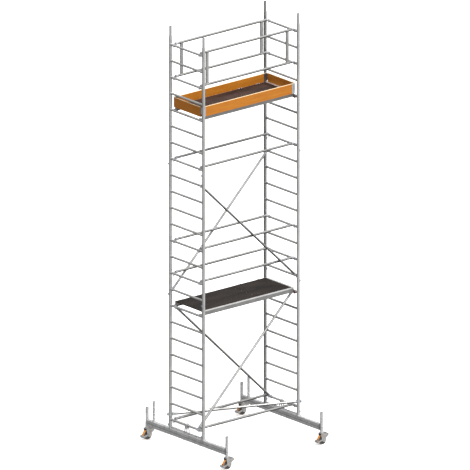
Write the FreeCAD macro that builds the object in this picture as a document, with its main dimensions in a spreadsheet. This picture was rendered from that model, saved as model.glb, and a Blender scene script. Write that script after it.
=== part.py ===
import FreeCAD, Part
import math
import os

import Sketcher
from FreeCAD import Placement, Rotation, Vector

# Mobile tower scaffold, millimetres, +Z up. X runs along the decks, Y across the tower.
# The origin is on the floor, at the centre of the base.

doc = FreeCAD.newDocument("MobileTower")
sheet = doc.addObject("Spreadsheet::Sheet", "Sizes")


# ---------------------------------------------------------------- sizes bound to the sheet

class Size:
    """A value worked out from the sheet: text is its formula, number is its value now."""

    def __init__(self, text, number):
        self.text = text
        self.number = float(number)

    def __add__(self, other):
        return joined(self, "+", other, self.number + plain(other))

    def __radd__(self, other):
        return joined(other, "+", self, plain(other) + self.number)

    def __sub__(self, other):
        return joined(self, "-", other, self.number - plain(other))

    def __rsub__(self, other):
        return joined(other, "-", self, plain(other) - self.number)

    def __mul__(self, other):
        return joined(self, "*", other, self.number * plain(other))

    def __rmul__(self, other):
        return joined(other, "*", self, plain(other) * self.number)

    def __truediv__(self, other):
        return joined(self, "/", other, self.number / plain(other))

    def __neg__(self):
        return joined(-1, "*", self, -self.number)


def plain(value):
    return value.number if isinstance(value, Size) else float(value)


def formula(value):
    return value.text if isinstance(value, Size) else repr(float(value))


def joined(left, sign, right, number):
    return Size(f"({formula(left)} {sign} {formula(right)})", number)


def length_of(run, rise):
    return Size(f"hypot({formula(run)}; {formula(rise)})", math.hypot(plain(run), plain(rise)))


def turn_towards(ahead, aside):
    """The angle, in degrees, from the `ahead` direction towards the `aside` direction."""
    degrees = math.degrees(math.atan2(plain(aside), plain(ahead)))
    return Size(f"atan2({formula(aside)}; {formula(ahead)})", degrees)


given_count = 0


def given(alias, number):
    """Writes one driving dimension into the sheet."""
    global given_count
    given_count += 1
    sheet.set(f"A{given_count}", alias)
    sheet.set(f"B{given_count}", str(number))
    sheet.setAlias(f"B{given_count}", alias)
    return Size(f"Sizes.{alias}", number)


# Tower
bay_length = given("bay_length", 1800)          # between the two ladder lines
frame_width = given("frame_width", 750)         # between upright centres
frame_height = given("frame_height", 2000)
rung_pitch = given("rung_pitch", 250)
first_rung = given("first_rung", 125)
upright_dia = given("upright_dia", 48.3)
upright_wall = given("upright_wall", 4)
rung_dia = given("rung_dia", 35)
rung_wall = given("rung_wall", 2)
spigot_reach = given("spigot_reach", 155)       # stands out of the upright
spigot_depth = given("spigot_depth", 120)       # inside the upright
spigot_wall = given("spigot_wall", 3)
spigot_gap = given("spigot_gap", 0.15)
clip_height = given("clip_height", 50)          # above each joint
clip_depth = given("clip_depth", 13)            # stands out of the upright
clip_width = given("clip_width", 24)
clip_length = given("clip_length", 30)
clip_button_dia = given("clip_button_dia", 14)
clip_button_reach = given("clip_button_reach", 6)
# Rails and braces
rail_dia = given("rail_dia", 38)
rail_wall = given("rail_wall", 2)
rail_rise = given("rail_rise", 25)              # rail axis above its rungs
rail_gap = given("rail_gap", 11)                # between a rail's claw and a brace's claw
brace_gap = given("brace_gap", 4.85)            # between a brace's claw and the upright
inner_brace_gap = given("inner_brace_gap", 5.5) # between a rail and a lower brace
brace_dia = given("brace_dia", 35)
plan_brace_height = given("plan_brace_height", 206)
claw_width = given("claw_width", 30)
claw_wall = given("claw_wall", 7)
claw_gap = given("claw_gap", 0.3)
claw_reach = given("claw_reach", 62)            # rung axis to the end of the claw's socket
seat_depth = given("seat_depth", 24)            # tube end inside its claw
sleeve_wall = given("sleeve_wall", 2.5)
sleeve_start = given("sleeve_start", 18)        # sleeve's inner end from the rung axis
neck_start = given("neck_start", 20)
neck_step = given("neck_step", 2)               # brace claw's neck and collar, off the tube
collar_start = given("collar_start", 30)
catch_width = given("catch_width", 10)
catch_metal = given("catch_metal", 6)
plan_inset = given("plan_inset", 16)            # brace end to the upright's surface
coupler_wall = given("coupler_wall", 8)
coupler_height = given("coupler_height", 44)
coupler_lug_depth = given("coupler_lug_depth", 22)
coupler_lug_width = given("coupler_lug_width", 26)
coupler_lug_offset = given("coupler_lug_offset", 15)
coupler_socket_start = given("coupler_socket_start", 20)
coupler_socket_length = given("coupler_socket_length", 70)
coupler_socket_gap = given("coupler_socket_gap", 0.2)
rail_post_inset = given("rail_post_inset", 140)
rail_post_width = given("rail_post_width", 46)
rail_post_depth = given("rail_post_depth", 22)
# Base
beam_height = given("beam_height", 100)
beam_width = given("beam_width", 50)
beam_wall = given("beam_wall", 3)
beam_corner = given("beam_corner", 8)
foot_plate = given("foot_plate", 6)
foot_plate_side = given("foot_plate_side", 66)
castor_track = given("castor_track", 1810)      # between castor tubes along a beam
castor_tube_dia = given("castor_tube_dia", 48.3)
castor_tube_wall = given("castor_tube_wall", 4)
castor_tube_drop = given("castor_tube_drop", 29)
castor_tube_rise = given("castor_tube_rise", 184)
spare_post_dia = given("spare_post_dia", 42)
spare_post_rise = given("spare_post_rise", 310)
spare_post_inset = given("spare_post_inset", 155)
tie_bar_dia = given("tie_bar_dia", 20)
tie_bar_rise = given("tie_bar_rise", 14)
# Decks
deck_end_gap = given("deck_end_gap", 7.5)       # deck end to the rung's surface
deck_side_gap = given("deck_side_gap", 45.85)   # deck side to the upright's surface
deck_rise = given("deck_rise", 73)              # deck top above its rungs
deck_side_height = given("deck_side_height", 80)
deck_end_height = given("deck_end_height", 50)
deck_end_depth = given("deck_end_depth", 35)
deck_end_inset = given("deck_end_inset", 140)   # left end profile, set back under the panel
deck_ledge = given("deck_ledge", 35)            # carries the edges of the panels
deck_foot = given("deck_foot", 23)
deck_metal = given("deck_metal", 4)
lip_depth = given("lip_depth", 3)               # lip stands proud of the web
lip_height = given("lip_height", 21)
panel_thickness = given("panel_thickness", 12)
deck_bar_width = given("deck_bar_width", 40)
deck_bar_height = given("deck_bar_height", 30)
deck_bar_offset = given("deck_bar_offset", 24)  # third bar from the hatch
hatch_length = given("hatch_length", 640)
hatch_gap = given("hatch_gap", 3)
hatch_clear = given("hatch_clear", 0.3)         # hatch to the ledge, bolt to its guide
hinge_dia = given("hinge_dia", 12)
hinge_pin_dia = given("hinge_pin_dia", 6)
hinge_play = given("hinge_play", 0.05)
hinge_width = given("hinge_width", 60)
hinge_leaf = given("hinge_leaf", 3)
hinge_gap = given("hinge_gap", 0.6)             # between knuckles
hinge_inset = given("hinge_inset", 15)          # hinge line to the lip
hatch_leaf_width = given("hatch_leaf_width", 40)
deck_claw_width = given("deck_claw_width", 34)
lock_thickness = given("lock_thickness", 5)
lock_pin_dia = given("lock_pin_dia", 6)
lock_play = given("lock_play", 0.06)
lock_clear = given("lock_clear", 2.5)           # rung to the closed wind lock
lock_pivot_rise = given("lock_pivot_rise", 20)  # above the rung's middle
lock_pivot_reach = given("lock_pivot_reach", 4) # past the deck's end
lock_tip_reach = given("lock_tip_reach", 15)    # past the rung's middle
lock_gap = given("lock_gap", 1)                 # deck to the lock
lock_pin_root = given("lock_pin_root", 4)
lock_head_dia = given("lock_head_dia", 10)
lock_head = given("lock_head", 1.5)
catch_bolt_dia = given("catch_bolt_dia", 10)
catch_inset = given("catch_inset", 45)          # catch from the hatch's left edge
catch_offset = given("catch_offset", 30)        # catch from the ledge's edge
bolt_clear = given("bolt_clear", 2.5)           # bolt to the ledge above it
bolt_tail = given("bolt_tail", 24)
bolt_reach = given("bolt_reach", 12)            # bolt's tip past the ledge's edge
knob_dia = given("knob_dia", 24)
knob_height = given("knob_height", 8)
knob_clear = given("knob_clear", 0.5)
knob_stem_dia = given("knob_stem_dia", 8)
slot_width = given("slot_width", 12)
slot_length = given("slot_length", 46)
slot_shift = given("slot_shift", 6)
guide_width = given("guide_width", 18)
guide_depth = given("guide_depth", 14)
guide_offset = given("guide_offset", 19)
guide_wall = given("guide_wall", 3)
# Toe boards
toe_height = given("toe_height", 150)
toe_thickness = given("toe_thickness", 20)
toe_drop = given("toe_drop", 21)                # board's lower edge below the deck top
toe_fitting_wall = given("toe_fitting_wall", 2.5)
toe_fitting_length = given("toe_fitting_length", 55)
toe_tab_short = given("toe_tab_short", 45)      # tab shorter than the board's height
toe_rounding = given("toe_rounding", 4)
end_board_gap = given("end_board_gap", 3)
end_board_short = given("end_board_short", 12)
# Castors
wheel_dia = given("wheel_dia", 150)
tread_width = given("tread_width", 46)
tyre_depth = given("tyre_depth", 24)
tyre_shoulder = given("tyre_shoulder", 10)
tyre_crown = given("tyre_crown", 8)
wheel_web = given("wheel_web", 18)
hub_width = given("hub_width", 58)
hub_dia = given("hub_dia", 44)
axle_dia = given("axle_dia", 12)
axle_play = given("axle_play", 0.06)
axle_end = given("axle_end", 8)                 # past the brake lever's arm
fork_metal = given("fork_metal", 4)
fork_gap = given("fork_gap", 1.5)               # hub face to fork plate
fork_head_dia = given("fork_head_dia", 76)
fork_drop = given("fork_drop", 40)              # cheeks' lowest point below the axle
tyre_to_crown = given("tyre_to_crown", 19.5)
head_plate = given("head_plate", 6)
head_play = given("head_play", 0.5)
stem_dia = given("stem_dia", 40)
stem_length = given("stem_length", 170)
king_pin_dia = given("king_pin_dia", 18)
lever_metal = given("lever_metal", 3)
lever_gap = given("lever_gap", 1.5)             # fork plate to brake lever
lever_clear = given("lever_clear", 6)           # tyre to the lever's bridges
pedal_overhang = given("pedal_overhang", 29)    # pedals' ends past the tyre
pedal_plate = given("pedal_plate", 5)

STOREYS = ("lower", "middle", "upper")
RUNGS_PER_FRAME = 8
SIDES_X = (("left", -1), ("right", 1))
SIDES_Y = (("near", -1), ("far", 1))
LOWER_DECK_RUNG = 7
UPPER_DECK_RUNG = 19
LOWER_GUARD_RUNGS = (("low", 9), ("high", 11))
UPPER_BRACE_RUNGS = (8, 15)
TIE_RAIL_RUNG = 16
DOUBLE_RAIL_RUNGS = (21, 23)
HINGE_SHARES = (0.24, 0.77)                     # places of the two hinges along the hatch
DECK_BAR_SHARES = (0.28, 0.5)                   # places of two cross bars along the deck

beam_underside = wheel_dia + tyre_to_crown + fork_metal + head_play + head_plate + castor_tube_drop
beam_top = beam_underside + beam_height
tower_base = beam_top + foot_plate
half_bay = bay_length / 2
half_width = frame_width / 2
upright_bore = upright_dia - upright_wall * 2
spigot_dia = upright_bore - spigot_gap * 2
brace_side = half_width - upright_dia / 2 - brace_gap - claw_width / 2
rail_side = brace_side - claw_width - rail_gap
lower_brace_side = rail_side - rail_dia / 2 - brace_dia / 2 - inner_brace_gap
deck_length = bay_length - rung_dia - deck_end_gap * 2
deck_width = frame_width - upright_dia - deck_side_gap * 2
TALL = 400.0                                    # longer than any cut it makes


def rung_height(number):
    """Centre height of a rung, counted from 0 at the bottom of the tower."""
    return tower_base + first_rung + rung_pitch * number


# ---------------------------------------------------------------- small building blocks

ALONG_X = ((0, 1, 0), 90)
ALONG_Y = ((1, 0, 0), -90)
nodes = []


def bind(thing, name, value):
    if isinstance(value, Size):
        thing.setExpression(name, value.text)
    else:
        setattr(thing, name, value)


def put(thing, at=(0, 0, 0), turn=((0, 0, 1), 0)):
    """Places a thing: at is its base point, turn is an axis and an angle in degrees."""
    axis, angle = turn
    base = Vector(*[plain(value) for value in at])
    thing.Placement = Placement(base, Rotation(Vector(*axis), plain(angle)))
    for letter, value in zip("xyz", at):
        if isinstance(value, Size):
            thing.setExpression(f"Placement.Base.{letter}", value.text)
    if isinstance(angle, Size):
        thing.setExpression("Placement.Rotation.Angle", angle.text)
    return thing


def cylinder(radius, height, at=(0, 0, 0), turn=((0, 0, 1), 0)):
    thing = doc.addObject("Part::Cylinder", "Cylinder")
    bind(thing, "Radius", radius)
    bind(thing, "Height", height)
    return put(thing, at, turn)


def box(size, at=(0, 0, 0)):
    """A box of the given size whose lowest corner is at `at`."""
    thing = doc.addObject("Part::Box", "Box")
    for name, value in zip(("Length", "Width", "Height"), size):
        bind(thing, name, value)
    return put(thing, at)


def middle_box(size, middle):
    """A box of the given size around its middle point."""
    corner = [place - extent / 2 for place, extent in zip(middle, size)]
    return box(size, corner)


def fuse(pieces):
    thing = doc.addObject("Part::MultiFuse", "Fusion")
    thing.Shapes = pieces
    return thing


def cut(base, tool):
    thing = doc.addObject("Part::Cut", "Cut")
    thing.Base = base
    thing.Tool = tool
    return thing


def together(pieces):
    """Separate solids side by side, in one object."""
    thing = doc.addObject("Part::Compound", "Group")
    thing.Links = pieces
    return thing


def tube(dia, wall, height, at=(0, 0, 0), turn=((0, 0, 1), 0)):
    outer = cylinder(dia / 2, height, at, turn)
    bore = cylinder(dia / 2 - wall, height, at, turn)
    return cut(outer, bore)


def node(label, thing):
    """Names a finished sub-part, which is written to a file of that name."""
    thing.Label = label
    nodes.append(thing)
    return thing


def origin_plane(body, role):
    return next(part for part in body.Origin.OriginFeatures if part.Role == role)


def sketch_on(body, role):
    sketch = body.newObject("Sketcher::SketchObject", "Sketch")
    sketch.AttachmentSupport = [(origin_plane(body, role), "")]
    sketch.MapMode = "FlatFace"
    return sketch


def hold_point(sketch, line, end, point):
    """Holds one end of a line, or a circle's centre, at its coordinates."""
    kinds = (("DistanceX", -2), ("DistanceY", -1))
    for value, (kind, axis) in zip(point, kinds):
        if not isinstance(value, Size) and value == 0:
            sketch.addConstraint(Sketcher.Constraint("PointOnObject", line, end, axis))
            continue
        index = sketch.addConstraint(Sketcher.Constraint(kind, -1, 1, line, end, plain(value)))
        if isinstance(value, Size):
            sketch.setExpression(f"Constraints[{index}]", value.text)


def outline(sketch, points):
    """A closed outline of straight lines through the points."""
    first = sketch.GeometryCount
    count = len(points)
    for index in range(count):
        start = Vector(plain(points[index][0]), plain(points[index][1]), 0)
        after = points[(index + 1) % count]
        sketch.addGeometry(Part.LineSegment(start, Vector(plain(after[0]), plain(after[1]), 0)), False)
    for index in range(count):
        following = first + (index + 1) % count
        sketch.addConstraint(Sketcher.Constraint("Coincident", first + index, 2, following, 1))
    for index, point in enumerate(points):
        hold_point(sketch, first + index, 1, point)


def rectangle(sketch, width, height, middle=(0, 0)):
    left = middle[0] - width / 2
    low = middle[1] - height / 2
    outline(sketch, [(left, low), (left + width, low), (left + width, low + height), (left, low + height)])


def ring(sketch, radius, middle=(0, 0)):
    start = Vector(plain(middle[0]), plain(middle[1]), 0)
    index = sketch.addGeometry(Part.Circle(start, Vector(0, 0, 1), plain(radius)), False)
    hold_point(sketch, index, 3, middle)
    constraint = sketch.addConstraint(Sketcher.Constraint("Radius", index, plain(radius)))
    if isinstance(radius, Size):
        sketch.setExpression(f"Constraints[{constraint}]", radius.text)


def feature(body, kind, sketch, length):
    """A symmetric Pad or Pocket through the sketch's plane."""
    thing = body.newObject(kind, kind.split("::")[1])
    thing.Profile = sketch
    thing.SideType = "Symmetric"
    bind(thing, "Length", length)
    body.Tip = thing
    return thing


def pad(body, role, draw, length):
    sketch = sketch_on(body, role)
    draw(sketch)
    return feature(body, "PartDesign::Pad", sketch, length)


def pocket(body, role, draw, length):
    """Cuts through the body, and stops the build if nothing was cut."""
    doc.recompute()
    before = body.Shape.Volume
    sketch = sketch_on(body, role)
    draw(sketch)
    thing = feature(body, "PartDesign::Pocket", sketch, length)
    doc.recompute()
    if not body.Shape.Volume < before:
        raise RuntimeError(f"a pocket in {body.Label} cuts nothing")
    return thing


def new_body(label):
    return doc.addObject("PartDesign::Body", label)


def edges_along(shape, direction, keep):
    """Names of the straight edges along a direction whose middle point passes `keep`."""
    names = []
    for number, edge in enumerate(shape.Edges, 1):
        if len(edge.Vertexes) != 2:
            continue
        span = edge.Vertexes[1].Point - edge.Vertexes[0].Point
        if span.Length > 1 and span.cross(direction).Length < 0.001 * span.Length:
            if keep(edge.CenterOfMass):
                names.append(f"Edge{number}")
    return names


# ---------------------------------------------------------------- rolling base

def base_beam(side, sign):
    """Hollow rectangular beam between its two welded castor tubes."""
    body = new_body(f"beam_{side}")
    span = castor_track - castor_tube_dia

    def section(sketch):
        rectangle(sketch, beam_width, beam_height)

    def hollow(sketch):
        rectangle(sketch, beam_width - beam_wall * 2, beam_height - beam_wall * 2)

    base = pad(body, "XZ_Plane", section, span)
    doc.recompute()
    rounding = body.newObject("PartDesign::Fillet", "Corners")
    rounding.Base = (base, edges_along(base.Shape, Vector(0, 1, 0), lambda point: True))
    bind(rounding, "Radius", beam_corner)
    body.Tip = rounding
    pocket(body, "XZ_Plane", hollow, span)
    middle = beam_underside + beam_height / 2
    put(body, (half_bay * sign, 0, middle))
    pieces = [body]
    for _, across in SIDES_Y:
        foot = beam_underside - castor_tube_drop
        height = castor_tube_drop + beam_height + castor_tube_rise
        place = (half_bay * sign, castor_track / 2 * across, foot)
        pieces.append(tube(castor_tube_dia, castor_tube_wall, height, place))
    node(f"base_beam_{side}", together(pieces))


for side, sign in SIDES_X:
    base_beam(side, sign)


def leg_spigot(x, y):
    """Foot plate with the spigot that the lowest upright stands on."""
    plate = middle_box((foot_plate_side, foot_plate_side, foot_plate), (x, y, beam_top + foot_plate / 2))
    pin = cylinder(spigot_dia / 2, spigot_reach, (x, y, tower_base))
    return fuse([plate, pin])


def rung_clamp(x):
    """A-shaped hold-down over the lowest rung: two tapered cheeks and a saddle."""
    body = new_body("rung_clamp")
    foot_half = 42
    head_half = 15
    leg_width = 14
    head_depth = 30
    window_tip = 5
    cheek = 4
    slot = rung_dia + 2
    height = rung_height(0) - beam_top + rung_dia / 2 + cheek
    depth = slot + cheek * 2

    def cheeks(sketch):
        outline(sketch, [(-foot_half, 0), (foot_half, 0), (head_half, height), (-head_half, height)])

    def inside(sketch):
        rectangle(sketch, slot, height - cheek, (0, (height - cheek) / 2))

    def window(sketch):
        top = height - rung_dia - head_depth
        half = foot_half - leg_width
        outline(sketch, [(-half, 0), (half, 0), (window_tip, top), (-window_tip, top)])

    pad(body, "YZ_Plane", cheeks, depth)
    pocket(body, "XZ_Plane", inside, TALL)
    pocket(body, "YZ_Plane", window, TALL)
    return put(body, (x, 0, beam_top))


spigots = []
for _, sign in SIDES_X:
    for _, across in SIDES_Y:
        spigots.append(leg_spigot(half_bay * sign, half_width * across))
    spare_y = castor_track / 2 - spare_post_inset
    spigots.append(tube(spare_post_dia, spigot_wall, spare_post_rise, (half_bay * sign, spare_y, beam_top)))
    spigots.append(rung_clamp(half_bay * sign))
node("beam_spigots", together(spigots))


def tie_bar(x):
    """Round bar between the legs, with its ends shaped to the uprights."""
    height = tower_base + tie_bar_rise
    bar = cylinder(tie_bar_dia / 2, frame_width, (x, -half_width, height), ALONG_Y)
    legs = [cylinder(upright_dia / 2, TALL, (x, half_width * across, beam_top)) for _, across in SIDES_Y]
    return cut(bar, together(legs))


node("beam_tie_bars", together([tie_bar(half_bay * sign) for _, sign in SIDES_X]))


# ---------------------------------------------------------------- ladder frames

def top_spigot(x, y, head):
    """Sleeve pressed into the upright's head, with the reach that the next upright slides over."""
    seated = cylinder(upright_bore / 2, spigot_depth, (x, y, head - spigot_depth))
    reach = cylinder(spigot_dia / 2, spigot_reach, (x, y, head))
    bore = cylinder(spigot_dia / 2 - spigot_wall, spigot_depth + spigot_reach, (x, y, head - spigot_depth))
    return cut(fuse([seated, reach]), bore)


def frame(storey, side, sign):
    """Two uprights, eight rungs shaped to them, and the spigots for the frame above."""
    level = STOREYS.index(storey)
    foot = tower_base + frame_height * level
    x = half_bay * sign
    pieces = []
    legs = []
    for _, across in SIDES_Y:
        y = half_width * across
        pieces.append(tube(upright_dia, upright_wall, frame_height, (x, y, foot)))
        legs.append(cylinder(upright_dia / 2, frame_height, (x, y, foot)))
        head = foot + frame_height
        pieces.append(top_spigot(x, y, head))
    both_legs = together(legs)
    for number in range(RUNGS_PER_FRAME):
        height = foot + first_rung + rung_pitch * number
        place = (x, -half_width, height)
        pieces.append(cut(tube(rung_dia, rung_wall, frame_width, place, ALONG_Y), both_legs))
    node(f"frame_{storey}_{side}", together(pieces))


for storey in STOREYS:
    for side, sign in SIDES_X:
        frame(storey, side, sign)


def joint_clip(x, y, height, sign):
    """Spring clip on the outside of an upright: a saddle with a button."""
    reach = upright_dia / 2 + clip_depth
    saddle = middle_box((reach, clip_width, clip_length), (x + reach / 2 * sign, y, height))
    leg = cylinder(upright_dia / 2, TALL, (x, y, height - TALL / 2))
    turned = ((0, 1, 0), 90 * sign)
    button = cylinder(clip_button_dia / 2, clip_button_reach, (x + reach * sign, y, height), turned)
    return fuse([cut(saddle, leg), button])


clips = []
for level in range(len(STOREYS)):
    height = tower_base + frame_height * level + clip_height
    for _, sign in SIDES_X:
        for _, across in SIDES_Y:
            clips.append(joint_clip(half_bay * sign, half_width * across, height, sign))
node("frame_joint_clips", together(clips))


# ---------------------------------------------------------------- claws, rails and braces

def hook(x, y, z, width):
    """Arch that sits over a rung: open below, with its jaws a little past the rung's middle."""
    outer = rung_dia / 2 + claw_gap + claw_wall
    jaw = rung_dia / 4
    low = (x, y - width / 2, z)
    shell = cylinder(outer, width, low, ALONG_Y)
    opening = middle_box((outer * 2 + 2, width + 2, outer * 2), (x, y, z - jaw - outer))
    return shell, opening


def rung_bore(x, y, z, width):
    length = width * 2
    return cylinder(rung_dia / 2 + claw_gap, length, (x, y - length / 2, z), ALONG_Y)


def catch(x, y, z, sign):
    """Spring catch that closes the claw's mouth under the rung."""
    outer = rung_dia / 2 + claw_gap + claw_wall
    jaw = rung_dia / 4
    tail_height = outer + catch_metal / 2 - jaw
    tail_x = x + (outer - catch_metal / 2) * sign
    plate = middle_box((outer * 2, catch_width, catch_metal), (x, y, z - outer))
    tail = middle_box((claw_wall, catch_width, tail_height), (tail_x, y, z - jaw - tail_height / 2))
    bore = rung_bore(x, y, z, claw_width)
    return cut(fuse([plate, tail]), bore)


def rail_claw(sign, y, rung):
    """Claw and catch of a level rail; sign is the end of the bay where it hooks on."""
    z = rung_height(rung)
    x = half_bay * sign
    shell, opening = hook(x, y, z, claw_width)
    inward = -sign
    turned = ((0, 1, 0), 90 * inward)
    sleeve_place = (x + inward * sleeve_start, y, z + rail_rise)
    sleeve = cylinder(rail_dia / 2 + sleeve_wall, claw_reach - sleeve_start, sleeve_place, turned)
    seat_place = (x + inward * (claw_reach - seat_depth), y, z + rail_rise)
    seat = cylinder(rail_dia / 2, claw_reach, seat_place, turned)
    body = cut(fuse([cut(shell, opening), sleeve]), rung_bore(x, y, z, claw_width))
    return [cut(body, seat), catch(x, y, z, -inward)]


def level_rail(y, rung):
    """Level tube from claw to claw, its ends seated in the claws."""
    inset = claw_reach - seat_depth
    length = bay_length - inset * 2
    place = (-half_bay + inset, y, rung_height(rung) + rail_rise)
    return tube(rail_dia, rail_wall, length, place, ALONG_X)


claws = []


def single_rail(label, across, rung):
    y = rail_side * across
    node(label, level_rail(y, rung))
    for _, sign in SIDES_X:
        claws.extend(rail_claw(sign, y, rung))


for where, across in SIDES_Y:
    single_rail(f"base_rail_{where}", across, 0)
for name, rung in LOWER_GUARD_RUNGS:
    for where, across in SIDES_Y:
        single_rail(f"guard_rail_{name}_{where}", across, rung)
for where, across in SIDES_Y:
    single_rail(f"tie_rail_{where}", across, TIE_RAIL_RUNG)


def double_rail(where, across):
    """Two tubes joined by two flat posts, hooked on four rungs."""
    y = rail_side * across
    pieces = [level_rail(y, rung) for rung in DOUBLE_RAIL_RUNGS]
    low = rung_height(DOUBLE_RAIL_RUNGS[0]) + rail_rise
    gap = rung_height(DOUBLE_RAIL_RUNGS[1]) + rail_rise - low
    for _, sign in SIDES_X:
        x = (half_bay - rail_post_inset) * sign
        post = middle_box((rail_post_width, rail_post_depth, gap), (x, y, low + gap / 2))
        tubes = [cylinder(rail_dia / 2, rail_post_width * 2, (x - rail_post_width, y, z), ALONG_X)
                 for z in (low, low + gap)]
        pieces.append(cut(post, together(tubes)))
        for rung in DOUBLE_RAIL_RUNGS:
            claws.extend(rail_claw(sign, y, rung))
    node(f"double_rail_{where}", together(pieces))


for where, across in SIDES_Y:
    double_rail(where, across)
node("rail_claws", together(claws))

brace_claws = []


def diagonal(label, y, left_rung, right_rung):
    """Brace that leaves each rung along its own line, with a claw at both ends."""
    low = rung_height(left_rung)
    rise = rung_height(right_rung) - low
    whole = length_of(bay_length, rise)
    unit_x = bay_length / whole
    unit_z = rise / whole
    start = claw_reach - seat_depth
    for sign, z in ((-1, low), (1, low + rise)):
        x = half_bay * sign
        lean = ((0, 1, 0), turn_towards(rise * -sign, bay_length * -sign))

        def along(distance):
            return (x - unit_x * distance * sign, y, z - unit_z * distance * sign)

        if sign < 0:
            node(label, tube(brace_dia, rail_wall, whole - start * 2, along(start), lean))
        shell, opening = hook(x, y, z, claw_width)
        neck = cylinder(brace_dia / 2 - neck_step, start, along(neck_start), lean)
        collar = cylinder(brace_dia / 2 + neck_step, claw_reach - collar_start, along(collar_start), lean)
        seat = cylinder(brace_dia / 2, claw_reach, along(start), lean)
        body = cut(fuse([cut(shell, opening), neck, collar]), rung_bore(x, y, z, claw_width))
        brace_claws.append(cut(body, seat))
        relief_radius = brace_dia / 2 + neck_step + claw_gap
        relief = cylinder(relief_radius, claw_reach, along(sleeve_start), lean)
        brace_claws.append(cut(catch(x, y, z, sign), relief))


diagonal("brace_lower_near", -lower_brace_side, 0, LOWER_DECK_RUNG)
diagonal("brace_lower_far", lower_brace_side, LOWER_DECK_RUNG, 0)
diagonal("brace_upper_far", brace_side, *UPPER_BRACE_RUNGS)
diagonal("brace_upper_near", -brace_side, *reversed(UPPER_BRACE_RUNGS))


def plan_brace():
    """Level diagonal between opposite uprights, with a half coupler at each end."""
    whole = length_of(bay_length, frame_width)
    z = tower_base + plan_brace_height
    inset = upright_dia / 2 + plan_inset
    turned = ((0, 0, 1), turn_towards(bay_length, -frame_width))
    bar = tube(rail_dia, rail_wall, whole - inset * 2, (inset - whole / 2, 0, 0), ALONG_X)
    node("plan_brace", put(bar, (0, 0, z), turned))
    lug_size = (coupler_lug_depth, coupler_lug_width, coupler_height - coupler_wall)
    for sign in (-1, 1):
        middle = whole / 2 * sign
        shell = cylinder(upright_dia / 2 + coupler_wall, coupler_height, (middle, 0, -coupler_height / 2))
        lug = middle_box(lug_size, (middle + (upright_dia / 2 + coupler_lug_offset) * sign, 0, 0))
        core = cylinder(upright_dia / 2 + claw_gap, TALL, (middle, 0, -TALL / 2))
        socket_start = middle - coupler_socket_start * sign
        socket_radius = rail_dia / 2 - rail_wall - coupler_socket_gap
        socket = cylinder(socket_radius, coupler_socket_length, (socket_start, 0, 0), ((0, 1, 0), -90 * sign))
        coupler = cut(fuse([shell, lug, socket]), core)
        brace_claws.append(put(coupler, (0, 0, z), turned))


plan_brace()
node("brace_claws", together(brace_claws))


# ---------------------------------------------------------------- decks

half_deck = deck_length / 2
deck_edge = deck_width / 2
panel_edge = deck_edge - lip_depth
ledge_edge = panel_edge - deck_ledge
web_inside = panel_edge - deck_metal
hatch_right = half_deck - deck_end_depth - hatch_gap
hatch_left = hatch_right - hatch_length
hinge_line = panel_edge - hinge_inset
hinge_rise = hinge_dia / 2 + 1
end_top = panel_thickness + deck_metal


def side_profile(across, top):
    """Extrusion along the deck's side: an outer lip, a ledge for the panels, a web and a foot."""
    body = new_body("side_profile")
    lip = -lip_depth
    web = lip - deck_metal
    ledge = lip - deck_ledge
    toe = lip - deck_foot
    foot = -deck_side_height

    def section(sketch):
        outline(sketch, [
            (0, 0), (lip, 0), (lip, -panel_thickness), (ledge, -panel_thickness), (ledge, -end_top),
            (web, -end_top), (web, foot + deck_metal), (toe, foot + deck_metal), (toe, foot), (lip, foot),
            (lip, -lip_height), (0, -lip_height)])

    pad(body, "YZ_Plane", section, deck_length)
    if across > 0:
        return put(body, (0, deck_edge, top))
    return put(body, (0, -deck_edge, top), ((0, 0, 1), 180))


def end_profile(x, top):
    """Box section between the side profiles, with a rib that reaches up to the panel."""
    wall = deck_metal
    z = top - end_top - deck_end_height / 2
    whole = middle_box((deck_end_depth, web_inside * 2, deck_end_height), (x, 0, z))
    hollow = middle_box((deck_end_depth - wall * 2, deck_width, deck_end_height - wall * 2), (x, 0, z))
    rib_place = (x, 0, top - panel_thickness - deck_metal / 2)
    rib = middle_box((deck_end_depth, ledge_edge * 2, deck_metal), rib_place)
    return fuse([cut(whole, hollow), rib])


def hatch_hinge_x(number):
    """Middle of one of the two hinges along the hatch."""
    return hatch_left + hatch_length * HINGE_SHARES[number]


def fixed_hinge(middle, top):
    """Pin, two outer knuckles and their leaves, which stay on the deck."""
    knuckle = hinge_width / 3
    length = knuckle - hinge_gap
    z = top + hinge_rise
    pieces = []
    for offset in (-1, 1):
        x = middle + knuckle * offset
        barrel = cylinder(hinge_dia / 2, length, (x - length / 2, hinge_line, z), ALONG_X)
        leaf_width = panel_edge - hinge_line
        leaf_place = (x, hinge_line + leaf_width / 2, top + hinge_leaf / 2)
        leaf = middle_box((length, leaf_width, hinge_leaf), leaf_place)
        bore = cylinder(hinge_pin_dia / 2, TALL, (middle - TALL / 2, hinge_line, z), ALONG_X)
        pieces.append(cut(fuse([barrel, leaf]), bore))
    pin_place = (middle - hinge_width / 2, hinge_line, z)
    pieces.append(cylinder(hinge_pin_dia / 2, hinge_width, pin_place, ALONG_X))
    return pieces


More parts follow.
